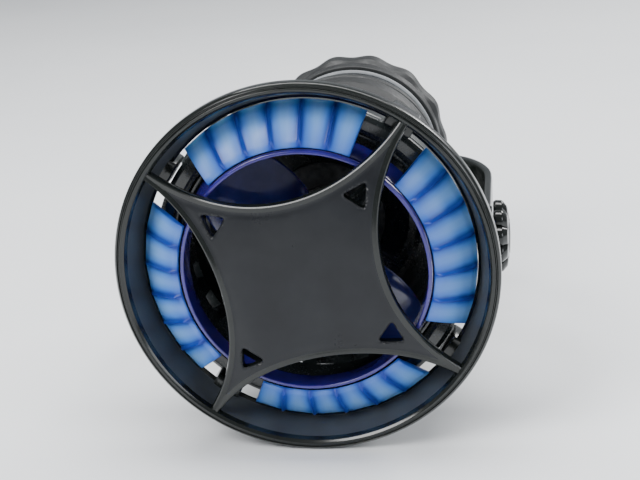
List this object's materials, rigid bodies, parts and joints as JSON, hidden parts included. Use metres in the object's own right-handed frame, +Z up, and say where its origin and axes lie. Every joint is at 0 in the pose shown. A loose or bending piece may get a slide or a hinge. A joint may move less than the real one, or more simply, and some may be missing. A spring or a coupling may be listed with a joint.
{
  "type": "wave maker pump",
  "caption": "Magnet-mounted aquarium wave pump: slotted cage with propeller on a tilting, swivelling yoke, and a pull-off wide-flow ring with blue vanes, guard arms and a round hoop.",
  "frame": {"origin": "centre of the face of the wet-side pad that rests on the inside of the tank glass", "axes": "+Y out of the pad face, through the glass to the dry side; the pump blows towards -Y; +Z up; +X to the right seen from the front; the tilt pivot is parallel to X"},
  "size_m": [0.0888, 0.1206, 0.0846],
  "materials": {
    "dark_gloss_plastic": "glossy near-black moulded plastic",
    "slate_plastic": "glossy dark slate-grey moulded plastic",
    "blue_clear_plastic": "translucent bright-blue moulded plastic",
    "indigo_clear_plastic": "translucent purple-blue moulded plastic",
    "blade_clear_plastic": "translucent blue-purple moulded plastic",
    "matte_black_plastic": "fine-textured black moulded plastic",
    "black_rubber": "matt black rubber",
    "grey_silicone": "matt grey silicone",
    "stainless_steel": "satin stainless steel",
    "nickel_magnet": "nickel-plated magnet",
    "dark_ferrite": "dark bonded ferrite",
    "white_ceramic": "polished white ceramic",
    "coil_copper": "enamelled copper winding",
    "core_steel": "laminated core steel"
  },
  "bodies": {
    "base": {"wet_pad": "grey_silicone", "wet_plate": "stainless_steel", "wet_magnet": "nickel_magnet", "wet_housing": "matte_black_plastic", "swivel_washer": "black_rubber", "swivel_screw": "stainless_steel"},
    "yoke": {"yoke": "dark_gloss_plastic"},
    "head": {"pivot_washer_left": "black_rubber", "pivot_washer_right": "black_rubber", "cage": "slate_plastic", "spider": "slate_plastic", "front_bushing": "white_ceramic", "thrust_washer": "white_ceramic", "rear_bushing": "white_ceramic", "rotor_can": "matte_black_plastic", "motor_housing": "matte_black_plastic", "rear_cap": "matte_black_plastic", "cap_seal": "black_rubber", "cable_gland": "black_rubber", "stator_core": "core_steel", "coil_1": "coil_copper", "coil_2": "coil_copper", "coil_3": "coil_copper", "coil_4": "coil_copper", "coil_5": "coil_copper", "coil_6": "coil_copper", "cage_screw_1": "stainless_steel", "cage_screw_2": "stainless_steel", "cage_screw_3": "stainless_steel", "cage_screw_4": "stainless_steel"},
    "knob_left": {"knob_left": "dark_gloss_plastic"},
    "knob_right": {"knob_right": "dark_gloss_plastic"},
    "rotor": {"shaft": "white_ceramic", "rotor_magnet": "dark_ferrite", "propeller": "blade_clear_plastic", "hub_cap": "indigo_clear_plastic"},
    "wide_ring": {"ring_guard": "dark_gloss_plastic", "throat_ring": "indigo_clear_plastic", "vane_right": "blue_clear_plastic", "vane_top": "blue_clear_plastic", "vane_left": "blue_clear_plastic", "vane_bottom": "blue_clear_plastic"},
    "dry_half": {"dry_pad": "grey_silicone", "dry_plate": "stainless_steel", "dry_magnet": "nickel_magnet", "dry_housing": "matte_black_plastic"}
  },
  "joints": [
    {"name": "yoke_swivel", "type": "hinge", "parent": "base", "child": "yoke", "pos_m": [0, 0, 0], "axis": [0, 1, 0], "range_deg": [-180, 180]},
    {"name": "head_tilt", "type": "hinge", "parent": "yoke", "child": "head", "pos_m": [0, -0.069, 0], "axis": [1, 0, 0], "range_deg": [-60, 60]},
    {"name": "knob_left_turn", "type": "hinge", "parent": "head", "child": "knob_left", "pos_m": [0, -0.069, 0], "axis": [-1, 0, 0], "range_deg": [0, 360]},
    {"name": "knob_right_turn", "type": "hinge", "parent": "head", "child": "knob_right", "pos_m": [0, -0.069, 0], "axis": [1, 0, 0], "range_deg": [0, 360]},
    {"name": "propeller_spin", "type": "hinge", "parent": "head", "child": "rotor", "pos_m": [0, -0.069, 0], "axis": [0, -1, 0], "continuous": true},
    {"name": "wide_ring_pull", "type": "slide", "parent": "head", "child": "wide_ring", "axis": [0, -1, 0], "range_m": [0, 0.04]},
    {"name": "dry_half_pull", "type": "slide", "parent": "base", "child": "dry_half", "axis": [0, 1, 0], "range_m": [0, 0.03]}
  ]
}
